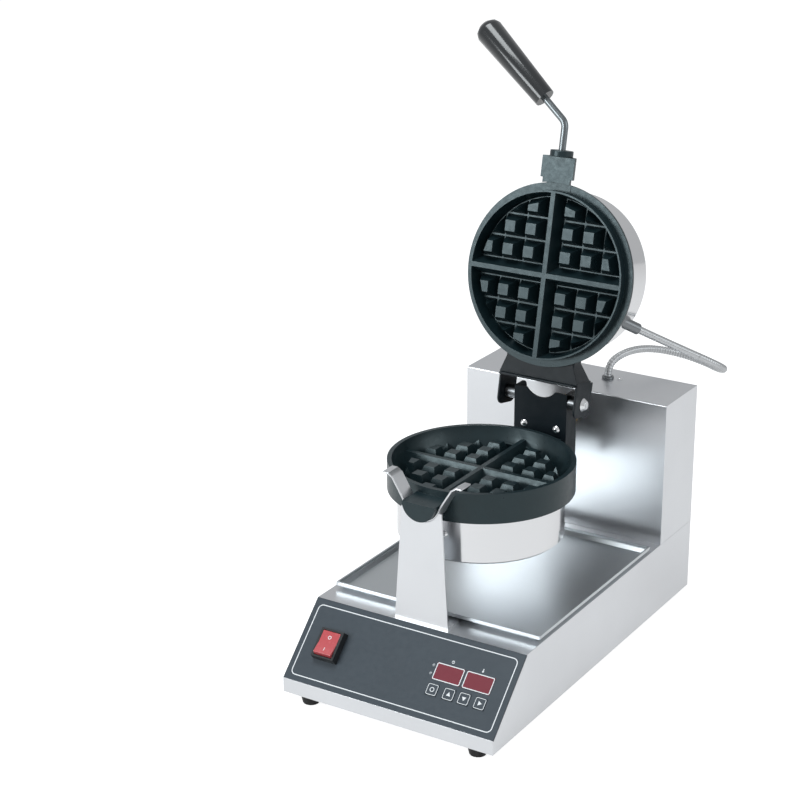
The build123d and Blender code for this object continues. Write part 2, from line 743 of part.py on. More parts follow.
def cover_can(z_open, z_closed):
    """A drawn steel can with its rim at z_open and a bevelled closed end at z_closed."""
    low, high = min(z_open, z_closed), max(z_open, z_closed)
    bevel = tapered_prism(RIM_SIDES, COVER_RADIUS, COVER_RADIUS - COVER_EDGE, COVER_EDGE)
    if z_closed > z_open:
        can = bar_z(0, PAN_Y, low, high - COVER_EDGE, COVER_RADIUS)
        can += Pos(0, PAN_Y, high - COVER_EDGE) * bevel
        return can - Pos(0, PAN_Y, 0) * can_hollow(low, high - COVER_SHEET)
    can = bar_z(0, PAN_Y, low + COVER_EDGE, high, COVER_RADIUS)
    can += Pos(0, PAN_Y, low + COVER_EDGE) * Rot(180, 0, 0) * bevel
    return can - Pos(0, PAN_Y, 0) * can_hollow(low + COVER_SHEET, high)


LOWER_SCREW_ANGLES = (5.0, 125.0, 245.0)
LOWER_SCREW_Z = 189.5
UPPER_SCREW_ANGLES = (60.0, 180.0, 300.0)
UPPER_SCREW_Z = 262.0


def cover_screws(angles, z):
    """Small dome screws through a cover's side; angle 0 faces the front."""
    screws = []
    for angle in angles:
        spin = Pos(0, PAN_Y, z) * Rot(0, 0, angle) * Pos(0, -COVER_RADIUS, 0) * Rot(90, 0, 0)
        screws.append(spin * screw(4.0, 2.2, 2.0, 5.0))
    return screws


def make_lower_cover():
    """Steel can under the lower iron."""
    return cut_by(
        cover_can(LOWER_PAN_BOTTOM, LOWER_COVER_BOTTOM),
        cover_screws(LOWER_SCREW_ANGLES, LOWER_SCREW_Z),
    )


def make_upper_gland():
    """Angled gland that takes the cable through the upper cover's wall."""
    inward = Vector(*UPPER_ROUTE[-1]) - Vector(*UPPER_ROUTE[-2])
    along = Plane(origin=Vector(*UPPER_ROUTE[-1]), z_dir=inward)
    return along * prism(ROUND_SIDES, UPPER_GLAND_RADIUS, 0, UPPER_GLAND_LENGTH)


def make_upper_cover():
    """Steel can behind the upper iron, with the opening for its cable gland."""
    cover = cut_by(
        cover_can(FLANGE_TOP, UPPER_COVER_TOP),
        cover_screws(UPPER_SCREW_ANGLES, UPPER_SCREW_Z),
    )
    return opened(cover) - make_upper_gland()


def heater(z, up):
    """Flat heating ring on the back of an iron, with two connection posts."""
    face = z + 8.0 * up
    low, high = min(z, face), max(z, face)
    ring = prism(HIDDEN_SIDES, 66, low, high) - prism(HIDDEN_SIDES, 54, low, high)
    ring -= block(-7, 7, 0, 70, low, high)
    post_low, post_high = min(face, face + 12 * up), max(face, face + 12 * up)
    for x in (-13, 13):
        ring += Pos(x, 58.5, 0) * prism(SHANK_SIDES, 3.5, post_low, post_high)
    return Pos(0, PAN_Y, 0) * ring


def make_temperature_probe():
    """Probe bulb with a clamp, under the middle of the lower iron."""
    bulb = prism_y(SCREW_SIDES, 0, LOWER_PAN_BOTTOM - 4, PAN_Y - 25, PAN_Y + 25, 3.0)
    clamp = block(-9, 9, PAN_Y - 6, PAN_Y + 6, LOWER_PAN_BOTTOM - 8, LOWER_PAN_BOTTOM)
    return bulb + clamp


# Hinge and turning shaft

def make_hinge_channel():
    """Upright sheet channel with a scalloped top, bolted to the lug and to the shaft plate."""
    web = block(
        -CHANNEL_HALF, CHANNEL_HALF, CHANNEL_FRONT, CHANNEL_BACK, CHANNEL_BOTTOM, CHANNEL_TOP
    )
    web -= block(
        -CHANNEL_HALF + CHANNEL_SHEET, CHANNEL_HALF - CHANNEL_SHEET,
        CHANNEL_FRONT + CHANNEL_SHEET, CHANNEL_BACK, CHANNEL_BOTTOM, CHANNEL_TOP,
    )
    web = fillet(web.edges().filter_by(Axis.X).group_by(Axis.Z)[-1].group_by(Axis.Y)[-1], 8.0)
    rise = (SCALLOP_HALF ** 2 + SCALLOP_DEPTH ** 2) / (2 * SCALLOP_DEPTH)
    web -= bar_y(
        0, CHANNEL_TOP - SCALLOP_DEPTH + rise, CHANNEL_FRONT, CHANNEL_FRONT + CHANNEL_SHEET, rise
    )
    web -= bar_x(HINGE_Y, HINGE_Z, -CHANNEL_HALF, CHANNEL_HALF, BOLT_RADIUS)
    for x, z in channel_screw_places():
        web -= bar_y(x, z, CHANNEL_FRONT, CHANNEL_FRONT + CHANNEL_SHEET, 3.0)
    return web


def channel_screw_places():
    """Two screws into the shaft plate and two into the lug below."""
    return [(-20.7, AXIS_Z), (20.7, AXIS_Z), (-15, AXIS_Z - 18), (15, AXIS_Z - 18)]


def make_channel_screws():
    """Cross-head dome screws: two seen from the front, two from behind into the lug."""
    screws = []
    for x, z in channel_screw_places()[:2]:
        place = Pos(x, CHANNEL_FRONT, z) * Rot(90, 0, 0)
        screws.append(place * screw(4.6, 2.8, 3.0, CHANNEL_SHEET + 9))
    for x, z in channel_screw_places()[2:]:
        place = Pos(x, CHANNEL_FRONT + CHANNEL_SHEET, z) * Rot(-90, 0, 0)
        screws.append(place * screw(4.6, 2.8, 3.0, CHANNEL_SHEET + 12))
    return screws


def make_rotation_shaft():
    """Shaft with a bolting plate, running back into the tower."""
    front = CHANNEL_FRONT + CHANNEL_SHEET
    plate = block(-29, 29, front, front + 9, AXIS_Z - 12.5, AXIS_Z + 14)
    plate = cut_by(plate, make_channel_screws()[:2])
    return plate + bar_y(0, AXIS_Z, front + 9, TOWER_FRONT + 38, 10.0)


def make_shaft_nut():
    """Hexagonal nut that holds the shaft in the tower."""
    start, end = TOWER_FRONT + 22.5, TOWER_FRONT + 32
    return prism_y(6, 0, AXIS_Z, start, end, 18.0) - bar_y(0, AXIS_Z, start, end, SHAFT_RADIUS)


def make_upper_bracket():
    """Hood of the upper iron: a web, two ears on the hinge and gussets onto the cover."""
    s_front, s_back = 24.0, 21.5
    web = block(-EAR_INNER, EAR_INNER, HINGE_Y - s_front, HINGE_Y - s_back,
                HINGE_Z - 26.6, HINGE_Z + 14)
    bracket = web
    for side in (-1, 1):
        inner, outer = side * EAR_INNER, side * (EAR_INNER + EAR_SHEET)
        x0, x1 = min(inner, outer), max(inner, outer)
        ear = block(x0, x1, HINGE_Y - s_front, HINGE_Y + 15, HINGE_Z - 20, HINGE_Z + 20)
        ear = fillet(ear.edges().filter_by(Axis.X).group_by(Axis.Y)[-1], 10.0)
        bracket += ear
        gusset_in = side * (EAR_INNER - 6.6)
        g0, g1 = min(gusset_in, gusset_in + side * EAR_SHEET), max(gusset_in, gusset_in + side * EAR_SHEET)
        bracket += block(min(gusset_in, outer), max(gusset_in, outer), HINGE_Y - s_front - EAR_SHEET,
                         HINGE_Y - s_front, HINGE_Z - 20, HINGE_Z + 14)
        bracket += block(g0, g1, HINGE_Y - 62, HINGE_Y - s_front, HINGE_Z - 20, HINGE_Z - 3)
    bracket -= bar_z(0, PAN_Y, AXIS_Z, UPPER_COVER_TOP, COVER_RADIUS)
    bracket -= bar_z(0, PAN_Y, AXIS_Z, FLANGE_TOP, PAN_RADIUS + 0.5)
    bracket -= bar_x(HINGE_Y, HINGE_Z, -60, 60, BOLT_RADIUS + 2 * RUNNING_GAP)
    return opened(bracket)


def make_hinge_bolts():
    """Slotted dome bolts through the ears, the spacers and the channel."""
    bolts = []
    for side in (-1, 1):
        out = EAR_INNER + EAR_SHEET + 0.3
        bolt = tapered_prism(ROUND_SIDES, BOLT_HEAD, 0.6 * BOLT_HEAD, BOLT_HEAD_HEIGHT)
        bolt += prism(ROUND_SIDES, BOLT_RADIUS, -(out - CHANNEL_HALF + CHANNEL_SHEET), 0)
        bolt -= Pos(0, 0, BOLT_HEAD_HEIGHT) * Box(2 * BOLT_HEAD, 1.6, 3.0)
        bolts.append(Pos(side * out, HINGE_Y, HINGE_Z) * Rot(0, 90 * side, 0) * bolt)
    return bolts


def make_hinge_spacers():
    """Round spacers between the channel and the ears."""
    spacers = []
    for side in (-1, 1):
        ends = sorted((side * CHANNEL_HALF, side * (EAR_INNER - 0.3)))
        spacer = prism_x(ROUND_SIDES, HINGE_Y, HINGE_Z, ends[0], ends[1], 8.0)
        spacers.append(cut_by(spacer, make_hinge_bolts()))
    return spacers


# Handle

def make_handle_boss():
    """Round collar on the end of the upper journal."""
    collar = prism_y(HIDDEN_SIDES, 0, ROD_Z, UPPER_JOURNAL_END - 7, UPPER_JOURNAL_END, 13.0)
    return opened(collar) - make_handle_rod()


def handle_direction():
    """The direction of the grip in the closed place."""
    angle = math.radians(HANDLE_ANGLE)
    return Vector(-math.sin(angle), -math.cos(angle), 0)


def make_handle_rod():
    """Round steel rod with one bend."""
    bend = Vector(0, ROD_BEND_Y, ROD_Z)
    end = bend + handle_direction() * (ROD_AFTER_BEND + GRIP_SOCKET)
    path = FilletPolyline((0, ROD_START_Y, ROD_Z), bend, end, radius=ROD_BEND_RADIUS)
    section = Plane(origin=path @ 0, z_dir=path % 0) * RegularPolygon(ROD_RADIUS, ROUND_SIDES)
    return opened(sweep(section, path=path))


def make_handle_grip():
    """Tapered moulded grip with a rounded end and a socket for the rod."""
    length = GRIP_LENGTH - GRIP_CAP
    grip = tapered_prism(ROUND_SIDES, GRIP_R_NEAR, GRIP_R_FAR, length)
    low, radius = length, GRIP_R_FAR
    for height, next_radius in ((5.0, 0.86 * GRIP_R_FAR), (4.0, 0.5 * GRIP_R_FAR)):
        grip += Pos(0, 0, low) * tapered_prism(ROUND_SIDES, radius, next_radius, height)
        low, radius = low + height, next_radius
    start = Vector(0, ROD_BEND_Y, ROD_Z) + handle_direction() * ROD_AFTER_BEND
    return opened(Plane(origin=start, z_dir=handle_direction()) * grip) - make_handle_rod()


# Armoured cable

def corner_radii(route):
    """The largest tangent arc that each corner's two runs allow."""
    points = [Vector(*point) for point in route]
    radii = []
    for before, here, after in zip(points, points[1:], points[2:]):
        run_in = here - before
        run_out = after - here
        turn = math.radians(run_in.get_angle(run_out))
        radii.append(0.45 * min(run_in.length, run_out.length) / math.tan(turn / 2))
    return radii


def make_conduit(name, route):
    """A round tube along straight runs joined by tangent arcs."""
    radii = corner_radii(route)
    path = FilletPolyline(*route, radius=radii)
    section = RegularPolygon(CONDUIT_RADIUS, CONDUIT_SIDES)
    tube = sweep(Plane(origin=path @ 0, z_dir=path % 0) * section, path=path)
    ratio = tube.volume / (section.area * path.length)
    rounded = [round(radius, 1) for radius in radii]
    print(name, "length", round(path.length, 1), "radii", rounded, "volume ratio", round(ratio, 4))
    return tube


def save(name, shape):
    """Write one node, which is a solid or a list of like solids."""
    solids = []
    for item in shape if isinstance(shape, list) else [shape]:
        solids.extend(item.solids())
    body = solids[0] if len(solids) == 1 else Compound(children=solids)
    export_step(body, os.path.join("parts", name + ".step"))


def main():
    """Make every piece and write it."""
    os.makedirs("parts", exist_ok=True)
    save("base_housing", make_base_housing())
    save("bottom_cover", make_bottom_cover())
    save("feet", make_feet())
    save("foot_screws", make_foot_screws())
    save("power_inlet", make_power_inlet())
    save("transformer", make_transformer())
    save("terminal_block", make_terminal_block())
    save("control_panel", make_control_panel())
    save("display_windows", make_display_windows())
    save("indicator_lamps", make_indicator_lamps())
    save("control_board", make_control_board())
    save("switch_housing", make_switch_housing())
    save("rocker_switch", make_rocker_switch())
    for number, x in enumerate(KEY_XS, start=1):
        save(f"key_{number}", make_key(x))
    save("tower_housing", make_tower_housing())
    save("rear_cover", make_rear_cover())
    save("tower_screws", make_tower_screws())
    save("conduit_gland_lower", make_lower_gland())
    save("shaft_bearing", make_shaft_bearing())
    save("front_bracket", make_front_bracket())
    save("pan_cradle", make_pan_cradle())
    save("bracket_screws", make_bracket_screws())
    save("drip_tray", make_drip_tray())
    save("lower_pan", make_lower_pan())
    save("lower_cover", make_lower_cover())
    save("lower_cover_screws", cover_screws(LOWER_SCREW_ANGLES, LOWER_SCREW_Z))
    save("lower_heater", heater(LOWER_PAN_BOTTOM, -1))
    save("temperature_probe", make_temperature_probe())
    save("hinge_channel", make_hinge_channel())
    save("channel_screws", make_channel_screws())
    save("rotation_shaft", make_rotation_shaft())
    save("shaft_nut", make_shaft_nut())
    save("hinge_bolts", make_hinge_bolts())
    save("hinge_spacers", make_hinge_spacers())
    save("upper_pan", make_upper_pan())
    save("upper_cover", make_upper_cover())
    save("upper_cover_screws",
         [opened(screw) for screw in cover_screws(UPPER_SCREW_ANGLES, UPPER_SCREW_Z)])
    save("upper_heater", opened(heater(UPPER_PAN_TOP, 1)))
    save("upper_bracket", make_upper_bracket())
    save("handle_boss", make_handle_boss())
    save("handle_rod", make_handle_rod())
    save("handle_grip", make_handle_grip())
    save("conduit_gland_upper", make_upper_gland())
    save("conduit_lower", make_conduit("conduit_lower", LOWER_ROUTE))
    save("conduit_upper", make_conduit("conduit_upper", UPPER_ROUTE))


main()
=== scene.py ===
"""Looks of the rotary round-waffle baker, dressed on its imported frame. Metres, +Z up, panel towards -Y."""
import json
import math

import bmesh
import bpy
from mathutils import Matrix, Vector
from mathutils.bvhtree import BVHTree


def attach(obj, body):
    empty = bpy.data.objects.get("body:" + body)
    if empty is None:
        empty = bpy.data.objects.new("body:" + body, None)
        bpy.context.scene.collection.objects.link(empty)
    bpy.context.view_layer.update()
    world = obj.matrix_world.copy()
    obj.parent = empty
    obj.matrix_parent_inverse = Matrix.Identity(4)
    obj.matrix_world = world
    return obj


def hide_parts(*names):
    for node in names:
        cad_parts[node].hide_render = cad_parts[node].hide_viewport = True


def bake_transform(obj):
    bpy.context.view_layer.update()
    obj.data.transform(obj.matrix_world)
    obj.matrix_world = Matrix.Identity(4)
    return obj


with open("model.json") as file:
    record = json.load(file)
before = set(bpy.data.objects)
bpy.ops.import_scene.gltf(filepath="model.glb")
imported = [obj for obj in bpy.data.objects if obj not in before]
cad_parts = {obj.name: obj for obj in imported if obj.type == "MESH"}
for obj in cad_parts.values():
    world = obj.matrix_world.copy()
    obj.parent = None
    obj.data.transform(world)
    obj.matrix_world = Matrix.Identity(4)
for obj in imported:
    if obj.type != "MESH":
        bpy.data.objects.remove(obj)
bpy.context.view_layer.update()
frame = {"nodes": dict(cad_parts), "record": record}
record = frame["record"]

MM = 0.001


def joint(name):
    """A joint of the record."""
    return next(row for row in record["behaviour"]["joints"] if row["name"] == name)


# Camera, worked out from the edges of the base, the tower and both irons
CAMERA_PLACE = (1.00453, -1.80013, 1.06038)
CAMERA_AZIMUTH = 32.19
CAMERA_ELEVATION = 20.31
CAMERA_ROLL = -0.22
CAMERA_REACH = 50.0
FOCAL_PIXELS = 2009.5
PICTURE_PIXELS = 800.0
SENSOR = 36.0

# Places shared with the solids
SLOPE_TOP = Vector((0.0, -0.1678, 0.0964))
SLOPE_FOOT = Vector((0.0, -0.2365, 0.0291))
HINGE = Vector(joint("lid_hinge")["pos_m"])
LID_OPEN = math.radians(joint("lid_hinge")["range_deg"][1])

# Hood of the upper iron in its closed place: a plate between two flared walls
HOOD_NEAR = 0.0791
HOOD_FAR = 0.0520
HOOD_NEAR_HALF = 0.0495
HOOD_FAR_HALF = 0.0395
HOOD_LOW = 0.2481
HOOD_PLATE = 0.001
HOOD_NEAR_TOP = 0.2831
HOOD_FAR_TOP = 0.2661
HOOD_WALL = 0.0015
HOOD_EDGE = 0.0003

# Route of the armoured cable, the same points as its solid tubes
CONDUIT_DIAMETER = 0.009
CONDUIT_SPLIT = (0.1365, 0.2170, 0.3095)
CONDUIT_END = (0.0887, 0.1574, 0.3504)
LOWER_ROUTE = [
    (0.0310, 0.2032, 0.2704),
    (0.0310, 0.2032, 0.2820),
    (0.0350, 0.2170, 0.2905),
    (0.0440, 0.2400, 0.2940),
    (0.0580, 0.2640, 0.2915),
    (0.0820, 0.2860, 0.2835),
    (0.1120, 0.2960, 0.2745),
    (0.1380, 0.2830, 0.2735),
    (0.1600, 0.2460, 0.2900),
    CONDUIT_SPLIT,
]
UPPER_ROUTE = [
    CONDUIT_SPLIT,
    (0.1130, 0.1880, 0.3290),
    CONDUIT_END,
]

# Rolled ribs of the cable: their pitch, and the share of the radius at each step along one
RIB_PITCH = 0.0034
RIB_PROFILE = (1.0, 0.97, 0.82, 0.97)
HOSE_SIDES = 20
ROUTE_STEPS = 24

# Panel marks, in millimetres across from the middle and down from the panel's top edge
PRINT_THICKNESS = 0.06
BORDER_DOWN = 48.2
BORDER_WIDTH = 248.0
BORDER_HEIGHT = 83.5
BORDER_RADIUS = 6.0
BORDER_LINE = 1.1

DISPLAY_XS = (54.5, 90.5)
DISPLAY_DOWN = 42.5
DISPLAY_PROUD = 0.5
DISPLAY_WIDTH = 33.0
DISPLAY_HEIGHT = 19.0
DISPLAY_RADIUS = 2.0
DISPLAY_LINE = 1.0

DIAL_DOWN = 28.6
DIAL_RADIUS = 1.7
DIAL_LINE = 0.6
HAND_DOWN = 28.2
HAND_WIDTH = 0.5
HAND_HEIGHT = 1.5
STEM_DOWN = 28.0
STEM_WIDTH = 1.0
STEM_HEIGHT = 3.0
BULB_DOWN = 29.6
BULB_RADIUS = 1.1

KEY_XS = (43.6, 63.6, 81.8, 100.8)
KEY_DOWN = 63.0
KEY_PROUD = 0.8
KEY_FRAME = 12.0
KEY_FRAME_RADIUS = 1.8
KEY_FRAME_LINE = 0.6
KEY_RING_RADIUS = 2.6
KEY_RING_LINE = 0.8
ARROW_SIZE = 4.2

SWITCH_X = -90.0
SWITCH_DOWN = 49.5
SWITCH_MARK_OFFSET = 7.0
SWITCH_BAR_WIDTH = 0.7
SWITCH_BAR_HEIGHT = 4.0
SWITCH_RING_RADIUS = 2.1
SWITCH_RING_LINE = 0.7

# Stage: the floor's half width, its greys and glow, and the world's light
FLOOR_HALF = 6.0
FLOOR_PLAIN = (0.45, 0.45, 0.45, 1.0)
FLOOR_SHADED = (0.50, 0.50, 0.50, 1.0)
FLOOR_GLOW = 0.84
WORLD_LIGHT = (0.94, 0.97, 1.0, 1.0)
WORLD_STRENGTH = 0.40
LAMP_COLOR = (0.93, 0.98, 1.0)

# Shares of the white floor and of the white background that shiny surfaces show
FLOOR_IN_METAL = 0.6
WORLD_IN_METAL = 0.22


# Materials

class Material:
    """A node material with a few short ways to add noise, streaks and bumps."""

    NOISE_DETAIL = 4.0
    STREAK_DETAIL = 3.0
    NOISE_ROUGHNESS = 0.55
    NOISE_SPAN = (0.3, 0.7)
    STREAK_LENGTH = 6.0
    SIDEWAYS = 0.7

    def __init__(self, name, color, metallic=0.0, roughness=0.5, **sockets):
        self.material = bpy.data.materials.new(name)
        self.material.use_nodes = True
        self.nodes = self.material.node_tree.nodes
        self.links = self.material.node_tree.links
        self.shader = self.nodes["Principled BSDF"]
        self.color = (*color, 1.0)
        self.shader.inputs["Base Color"].default_value = self.color
        self.shader.inputs["Metallic"].default_value = metallic
        self.shader.inputs["Roughness"].default_value = roughness
        for socket, value in sockets.items():
            self.shader.inputs[socket.replace("_", " ")].default_value = value
        self.height = None

    def node(self, kind, **values):
        """A new node with its settings."""
        made = self.nodes.new(kind)
        for name, value in values.items():
            setattr(made, name, value)
        return made

    def place(self, scale):
        """Coordinates of the row frame, stretched by a scale for each axis."""
        source = self.node("ShaderNodeTexCoord")
        mapping = self.node("ShaderNodeMapping")
        mapping.inputs["Scale"].default_value = scale
        self.links.new(source.outputs["Object"], mapping.inputs["Vector"])
        return mapping.outputs["Vector"]

    def noise(self, scale, stretch=(1.0, 1.0, 1.0), detail=NOISE_DETAIL):
        """Cloudy noise from 0 to 1."""
        noise = self.node("ShaderNodeTexNoise")
        noise.inputs["Scale"].default_value = scale
        noise.inputs["Detail"].default_value = detail
        noise.inputs["Roughness"].default_value = self.NOISE_ROUGHNESS
        self.links.new(self.place(stretch), noise.inputs["Vector"])
        return noise.outputs["Fac"]

    def grain(self, fine):
        """Fine streaks along X, and along Y on faces that look sideways."""
        along = self.STREAK_LENGTH
        across = self.noise(1.0, (along, fine, fine), self.STREAK_DETAIL)
        lengthwise = self.noise(1.0, (fine, along, fine), self.STREAK_DETAIL)
        geometry = self.node("ShaderNodeNewGeometry")
        split = self.node("ShaderNodeSeparateXYZ")
        self.links.new(geometry.outputs["Normal"], split.inputs["Vector"])
        size = self.node("ShaderNodeMath", operation="ABSOLUTE")
        self.links.new(split.outputs["X"], size.inputs[0])
        side = self.node("ShaderNodeMath", operation="GREATER_THAN")
        side.inputs[1].default_value = self.SIDEWAYS
        self.links.new(size.outputs["Value"], side.inputs[0])
        return self.mix(side.outputs["Value"], across, lengthwise)

    def mix(self, factor, first, second):
        """The first value where the factor is 0, the second where it is 1."""
        mix = self.node("ShaderNodeMix", data_type="FLOAT")
        self.links.new(factor, mix.inputs["Factor"])
        self.links.new(first, mix.inputs["A"])
        self.links.new(second, mix.inputs["B"])
        return mix.outputs["Result"]

    def span(self, value, low, high):
        """The middle stretch of a noise spread between two values."""
        spread = self.node("ShaderNodeMapRange")
        spread.inputs["From Min"].default_value = self.NOISE_SPAN[0]
        spread.inputs["From Max"].default_value = self.NOISE_SPAN[1]
        spread.inputs["To Min"].default_value = low
        spread.inputs["To Max"].default_value = high
        self.links.new(value, spread.inputs["Value"])
        return spread.outputs["Result"]

    def roughness(self, value, low, high):
        """Roughness between two values, as a noise says."""
        self.links.new(self.span(value, low, high), self.shader.inputs["Roughness"])

    def tint(self, value, factor):
        """The base colour wanders towards a lighter or darker one."""
        mix = self.node("ShaderNodeMix", data_type="RGBA")
        mix.inputs["A"].default_value = self.color
        mix.inputs["B"].default_value = (*(channel * factor for channel in self.color[:3]), 1.0)
        self.links.new(self.span(value, 0.0, 1.0), mix.inputs["Factor"])
        self.links.new(mix.outputs["Result"], self.shader.inputs["Base Color"])

    def bump(self, value, distance, strength):
        """Bumps on top of the ones that are there."""
        bump = self.node("ShaderNodeBump")
        bump.inputs["Distance"].default_value = distance
        bump.inputs["Strength"].default_value = strength
        self.links.new(value, bump.inputs["Height"])
        if self.height is not None:
            self.links.new(self.height, bump.inputs["Normal"])
        self.height = bump.outputs["Normal"]
        self.links.new(self.height, self.shader.inputs["Normal"])


def brushed(name, color, rough, depth, fine):
    """Stainless sheet with fine straight grain and a few cloudy patches."""
    made = Material(name, color, metallic=1.0, roughness=rough)
    streaks = made.grain(fine)
    made.roughness(streaks, rough * 0.93, rough * 1.08)
    made.bump(streaks, depth, strength=0.3)
    made.tint(made.noise(9.0), 0.95)
    return made.material


def polished(name, color, rough):
    """Drawn stainless can, polished, with faint turning marks."""
    made = Material(name, color, metallic=1.0, roughness=rough)
    rings = made.noise(1.0, stretch=(40.0, 40.0, 1400.0), detail=2.0)
    made.roughness(rings, rough * 0.7, rough * 1.4)
    made.bump(made.noise(14.0), distance=0.0003, strength=0.25)
    return made.material


def cast(name, color, rough):
    """Cast aluminium under a dark non-stick coat."""
    made = Material(
        name, color, roughness=rough, Specular_IOR_Level=0.58, Specular_Tint=(0.80, 0.96, 1.0, 1.0)
    )
    made.tint(made.noise(60.0), 1.35)
    made.roughness(made.noise(180.0), rough * 0.85, rough * 1.2)
    made.bump(made.noise(900.0, detail=6.0), distance=0.00004, strength=0.4)
    made.bump(made.noise(90.0), distance=0.0002, strength=0.25)
    return made.material


def coated(name, color, rough):
    """Satin coated sheet."""
    made = Material(name, color, roughness=rough, Specular_IOR_Level=0.28)
    made.tint(made.noise(30.0), 1.2)
    made.roughness(made.noise(140.0), rough * 0.85, rough * 1.15)
    made.bump(made.noise(1200.0), distance=0.00003, strength=0.4)
    return made.material


def plastic(name, color, rough, **sockets):
    """Moulded plastic with a faint texture."""
    made = Material(name, color, roughness=rough, **sockets)
    made.tint(made.noise(25.0), 1.08)
    made.roughness(made.noise(200.0), rough * 0.85, rough * 1.15)
    made.bump(made.noise(1500.0), distance=0.00002, strength=0.3)
    return made.material


def smooth_metal(name, color, rough):
    """Metal without bumps of its own, for parts whose shape gives the detail."""
    made = Material(name, color, metallic=1.0, roughness=rough)
    made.roughness(made.noise(60.0), rough * 0.9, rough * 1.1)
    return made.material


MATERIALS = {
    "stainless_body": brushed("stainless_body", (0.75, 0.76, 0.78), 0.31, 0.000004, 1500.0),
    "stainless_cover": polished("stainless_cover", (0.77, 0.77, 0.78), 0.12),
    "stainless_tray": brushed("stainless_tray", (0.58, 0.61, 0.63), 0.33, 0.000003, 1500.0),
    "stainless_bracket": brushed("stainless_bracket", (0.78, 0.79, 0.81), 0.30, 0.000006, 1200.0),
    "cast_coated": cast("cast_coated", (0.006, 0.014, 0.017), 0.32),
    "hinge_dark": coated("hinge_dark", (0.007, 0.012, 0.016), 0.40),
    "bright_fastener": smooth_metal("bright_fastener", (0.80, 0.81, 0.82), 0.20),
    "rod_steel": smooth_metal("rod_steel", (0.20, 0.22, 0.23), 0.30),
    "machined_steel": smooth_metal("machined_steel", (0.22, 0.23, 0.24), 0.34),
    "bronze_bush": smooth_metal("bronze_bush", (0.40, 0.28, 0.14), 0.4),
    "heater_sheath": smooth_metal("heater_sheath", (0.35, 0.33, 0.30), 0.5),
    "grip_black": plastic("grip_black", (0.012, 0.014, 0.016), 0.22, Coat_Weight=0.5),
    "panel_grey": plastic("panel_grey", (0.042, 0.056, 0.070), 0.38),
    "switch_black": plastic("switch_black", (0.014, 0.016, 0.018), 0.42),
    "rocker_red": plastic("rocker_red", (0.52, 0.075, 0.085), 0.26, Coat_Weight=0.4),
    "display_red": plastic("display_red", (0.20, 0.030, 0.045), 0.22, Coat_Weight=0.3),
    "lamp_grey": plastic("lamp_grey", (0.30, 0.32, 0.34), 0.2, Coat_Weight=0.5),
    "key_slate": plastic("key_slate", (0.040, 0.053, 0.067), 0.38),
    "board_green": plastic("board_green", (0.03, 0.16, 0.06), 0.5),
    "inlet_black": plastic("inlet_black", (0.020, 0.020, 0.022), 0.5),
    "terminal_white": plastic("terminal_white", (0.75, 0.75, 0.70), 0.5),
    "foot_rubber": plastic("foot_rubber", (0.018, 0.018, 0.018), 0.75),
    "conduit_steel": smooth_metal("conduit_steel", (0.56, 0.57, 0.58), 0.30),
}
PRINT_WHITE = plastic("print_white", (0.80, 0.82, 0.84), 0.5)


def slot_of(node):
    """The record's material slot of a CAD node."""
    return next(row["material_slot"] for row in record["subparts"] if row["node"] == node)


def body_of(node):
    """The body that a CAD node rides on."""
    bodies = record["behaviour"]["bodies"]
    return next(body for body, nodes in bodies.items() if node in nodes)


def paint_node(node):
    """Give a CAD node its material."""
    mesh = frame["nodes"][node].data
    mesh.materials.clear()
    mesh.materials.append(MATERIALS[slot_of(node)])


# Making pieces

def mesh_of(work, name):
    """The mesh of a working one, which ends here."""
    mesh = bpy.data.meshes.new(name)
    work.to_mesh(mesh)
    work.free()
    return mesh


def outward_mesh(work, name):
    """The mesh of a working one, with every face turned outward."""
    bmesh.ops.recalc_face_normals(work, faces=work.faces)
    return mesh_of(work, name)


def strip(work, first, second):
    """Faces between two closed rows of corners."""
    for index in range(len(first)):
        following = (index + 1) % len(first)
        work.faces.new((first[index], first[following], second[following], second[index]))


def cap_ends(work, first, second):
    """A face on each end of what lies between two closed rows of corners."""
    work.faces.new(list(reversed(first)))
    work.faces.new(second)


def add_object(name, mesh, body, material):
    """A new piece that rides on a body."""
    made = bpy.data.objects.new(name, mesh)
    bpy.context.scene.collection.objects.link(made)
    mesh.materials.clear()
    mesh.materials.append(material)
    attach(made, body)
    return made


def round_edges(piece, width, angle=28.0):
    """Small rounded edges that catch the light, with flat faces kept flat."""
    bevel = piece.modifiers.new("bevel", "BEVEL")
    bevel.width = width
    bevel.segments = 2
    bevel.limit_method = "ANGLE"
    bevel.angle_limit = math.radians(angle)
    weighted = piece.modifiers.new("weighted", "WEIGHTED_NORMAL")
    weighted.mode = "FACE_AREA"
    weighted.keep_sharp = True


SAME_PLACE = 2e-6
SAME_PLANE = math.radians(0.4)


def dress(node, width, smooth):
    """Stand in for a CAD node with the same shape, its edges rounded."""
    work = bmesh.new()
    work.from_mesh(frame["nodes"][node].data)
    bmesh.ops.remove_doubles(work, verts=work.verts, dist=SAME_PLACE)
    bmesh.ops.dissolve_limit(work, angle_limit=SAME_PLANE, verts=work.verts, edges=work.edges)
    for face in work.faces:
        face.smooth = True
    for edge in work.edges:
        edge.smooth = edge.calc_face_angle(0.0) < math.radians(smooth)
    name = node + "_dressed"
    slot = slot_of(node)
    made = add_object(name, mesh_of(work, name), body_of(node), MATERIALS[slot])
    if width:
        round_edges(made, width, smooth)
    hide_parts(node)


